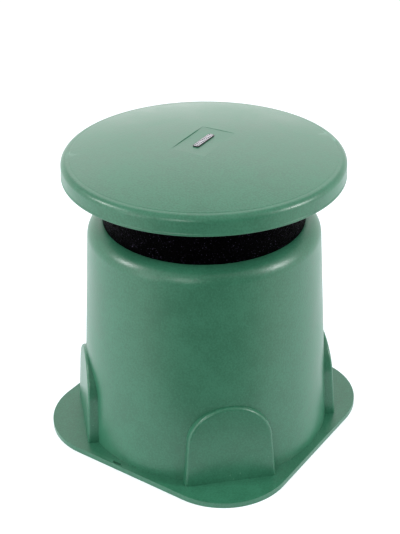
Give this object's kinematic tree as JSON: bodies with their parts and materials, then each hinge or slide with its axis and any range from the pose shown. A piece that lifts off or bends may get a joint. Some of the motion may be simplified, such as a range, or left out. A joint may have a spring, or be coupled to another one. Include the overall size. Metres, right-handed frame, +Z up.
{
  "type": "omnidirectional garden loudspeaker",
  "caption": "Green mushroom-shaped outdoor loudspeaker: tapered drum on a square flange, overhanging round cap over a foam-wrapped sound outlet, driver and transformer inside.",
  "frame": {"origin": "middle of the foot flange's underside, which rests on the ground", "axes": "+Z up through the middle of the cap; X and Y along the sides of the square flange, with the small slot near the -X edge"},
  "size_m": [0.344, 0.344, 0.3924],
  "materials": {
    "green_shell": "satin moulded polyethylene, fine orange-peel grain",
    "black_moulding": "black moulded plastic, fine spark-eroded texture",
    "foam": "black open-cell reticulated foam",
    "badge": "silver-faced moulded badge on a dark base, left blank",
    "rubber": "black rubber",
    "frame_paint": "black powder coat on pressed steel",
    "paper": "pressed paper pulp, dyed charcoal",
    "tan_cloth": "resin-dipped cloth",
    "copper": "enamelled copper wire",
    "zinc_steel": "bright zinc plate",
    "ferrite": "sintered ferrite, ground faces",
    "core_iron": "stacked silicon steel, varnished edges",
    "winding_tape": "polyester winding tape over a moulded bobbin",
    "brass": "bright brass",
    "ceramic": "unglazed steatite",
    "red_sleeve": "flexible insulation",
    "black_sleeve": "flexible insulation"
  },
  "bodies": {
    "housing": {"enclosure_body": "green_shell", "top_cap": "green_shell", "badge_plate": "badge", "reflector_plate": "black_moulding", "foam_ring": "foam", "foam_cage": "black_moulding", "cap_pillar_1": "black_moulding", "cap_screw_1": "zinc_steel", "cap_pillar_2": "black_moulding", "cap_screw_2": "zinc_steel", "cap_pillar_3": "black_moulding", "cap_screw_3": "zinc_steel", "cap_pillar_4": "black_moulding", "cap_screw_4": "zinc_steel", "driver_gasket": "rubber", "driver_basket": "frame_paint", "cone_surround": "rubber", "spider": "tan_cloth", "front_plate": "zinc_steel", "magnet_ring": "ferrite", "pole_plate": "zinc_steel", "terminal_strip": "brass", "driver_screw_1": "zinc_steel", "driver_screw_2": "zinc_steel", "driver_screw_3": "zinc_steel", "driver_screw_4": "zinc_steel", "tinsel_lead_1": "copper", "tinsel_lead_2": "copper", "driver_lead_1": "red_sleeve", "driver_lead_2": "black_sleeve", "bottom_cover": "black_moulding", "cover_gasket": "rubber", "cover_screw_1": "zinc_steel", "cover_screw_2": "zinc_steel", "cover_screw_3": "zinc_steel", "cover_screw_4": "zinc_steel", "cover_screw_5": "zinc_steel", "cover_screw_6": "zinc_steel", "gland_body": "black_moulding", "gland_seal": "rubber", "gland_nut": "black_moulding", "gland_locknut": "black_moulding", "selector_switch": "black_moulding", "selector_nut": "zinc_steel", "transformer_core": "core_iron", "transformer_coil": "winding_tape", "transformer_bracket": "zinc_steel", "transformer_screw_1": "zinc_steel", "transformer_screw_2": "zinc_steel", "terminal_block": "ceramic", "terminal_screw_1": "brass", "terminal_screw_2": "brass", "block_screw": "zinc_steel"},
    "moving_cone": {"speaker_cone": "paper", "whizzer_cone": "paper", "dust_cap": "paper", "voice_coil": "copper"},
    "selector": {"selector_spindle": "zinc_steel", "selector_knob": "black_moulding"}
  },
  "joints": [
    {"name": "cone_travel", "type": "slide", "parent": "housing", "child": "moving_cone", "axis": [0, 0, 1], "range_m": [-0.005, 0.005], "stiffness_N_per_m": 1400, "deforming": ["cone_surround", "spider", "tinsel_lead_1", "tinsel_lead_2"]},
    {"name": "power_select", "type": "hinge", "parent": "housing", "child": "selector", "pos_m": [-0.062, -0.062, 0.03], "axis": [0, 0, -1], "range_deg": [0, 120]}
  ]
}
